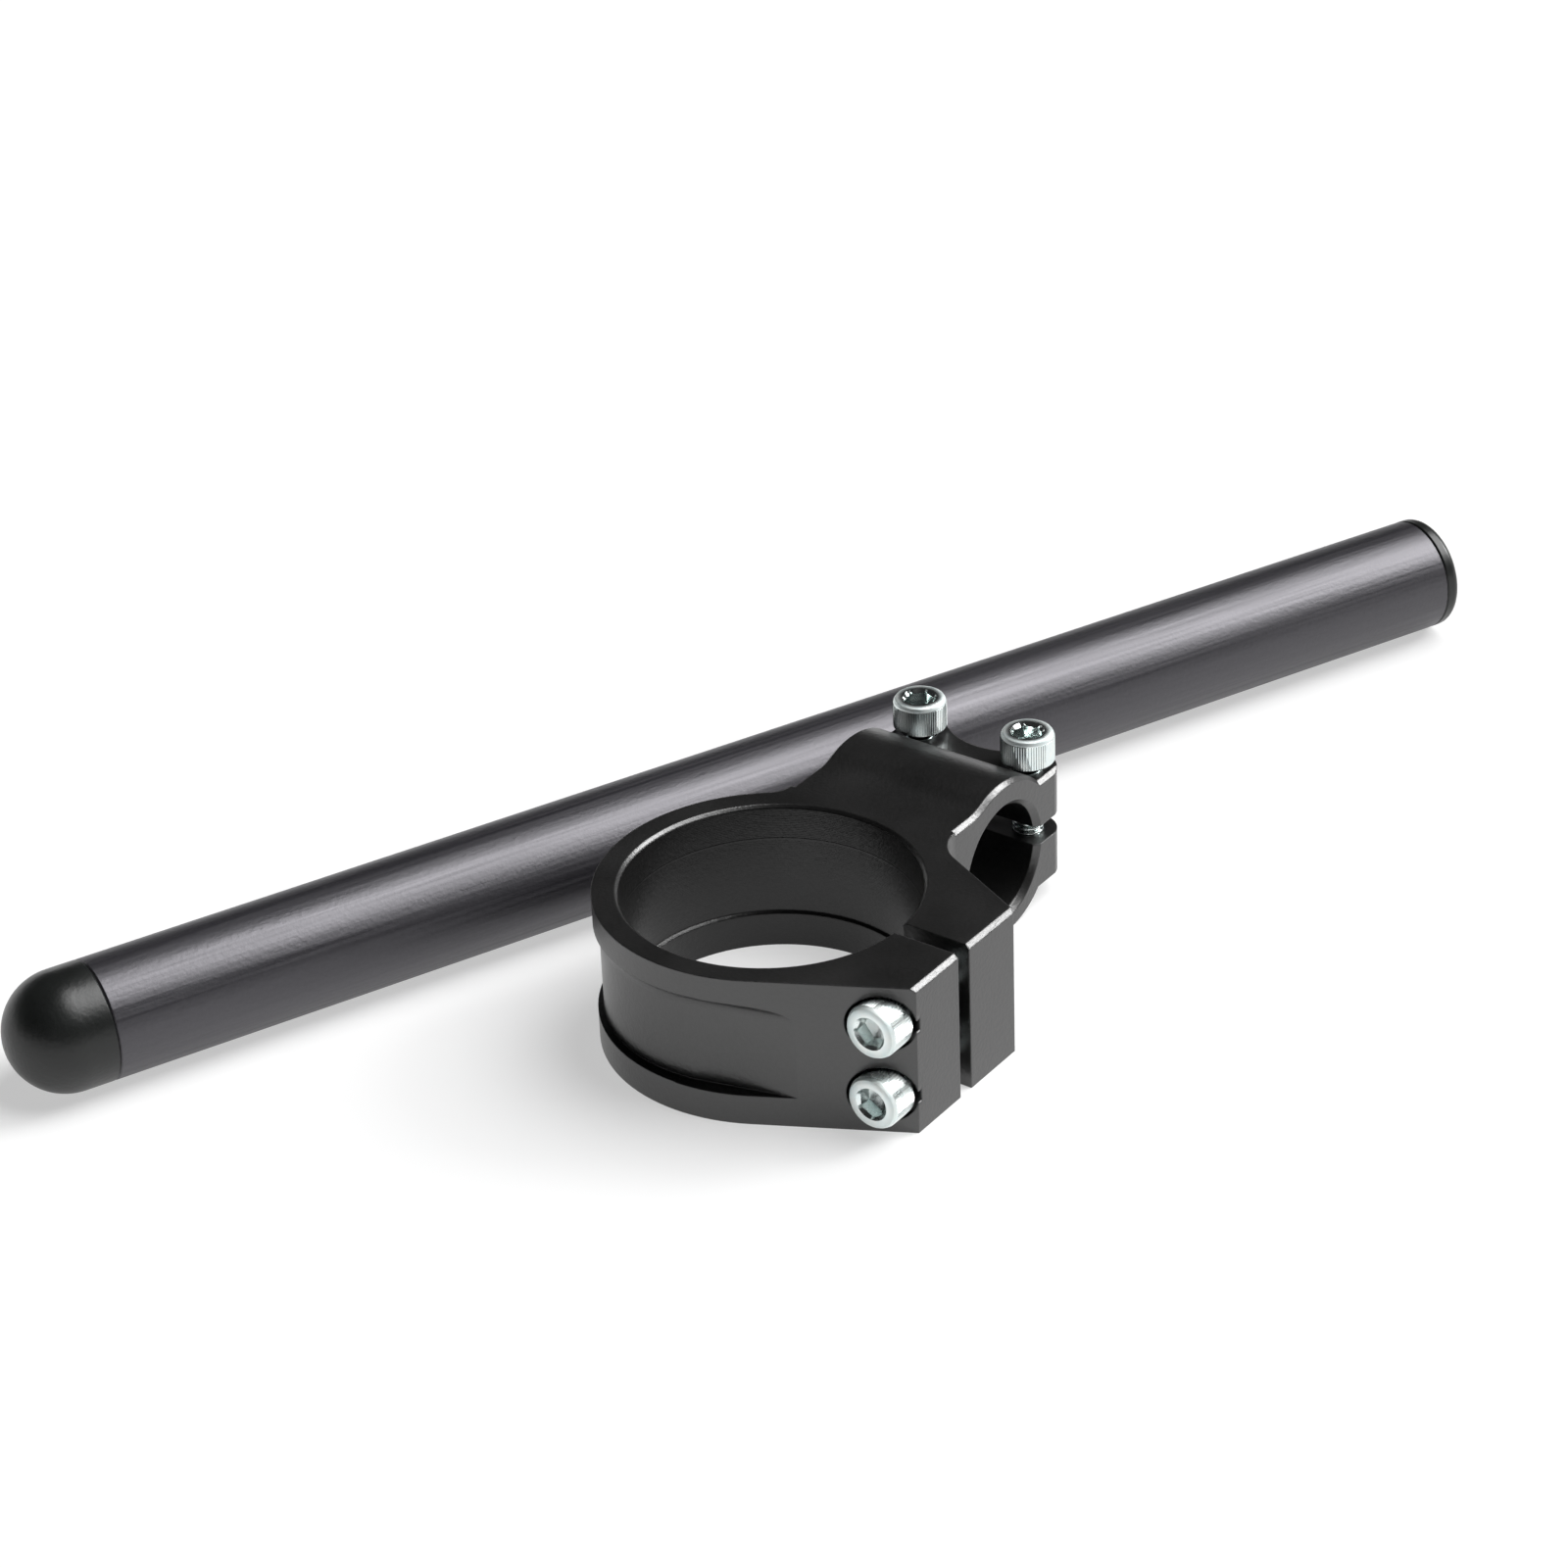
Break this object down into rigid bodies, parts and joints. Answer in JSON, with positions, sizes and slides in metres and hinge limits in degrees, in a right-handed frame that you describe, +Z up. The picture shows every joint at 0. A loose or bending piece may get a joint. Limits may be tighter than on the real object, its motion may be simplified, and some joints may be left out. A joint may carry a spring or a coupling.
{
  "type": "clip-on handlebar",
  "caption": "Clip-on handlebar: machined fork clamp with split bar clamp and socket screws, and its straight tubular bar with domed and flat end plugs lying beside it.",
  "frame": {"origin": "middle of the fork bore, on its axis and at half the clamp's height", "axes": "+Z up along the fork bore's axis, the way a fork tube leaves; -Y along the bar bore's axis, towards the ears; +X from the fork bore to the bar bore"},
  "size_m": [0.2897, 0.144, 0.033],
  "materials": {
    "clamp_anodised": "machined, satin black anodised",
    "bar_anodised": "drawn tube, satin black anodised",
    "zinc_steel": "bright zinc plated",
    "plug_rubber": "smooth satin black"
  },
  "bodies": {
    "root": {"clamp": "clamp_anodised", "fork_screw_upper": "zinc_steel", "fork_screw_lower": "zinc_steel", "bar_screw_front": "zinc_steel", "bar_screw_rear": "zinc_steel", "bar_tube": "bar_anodised", "domed_end_plug": "plug_rubber", "flat_end_plug": "plug_rubber"}
  },
  "joints": []
}
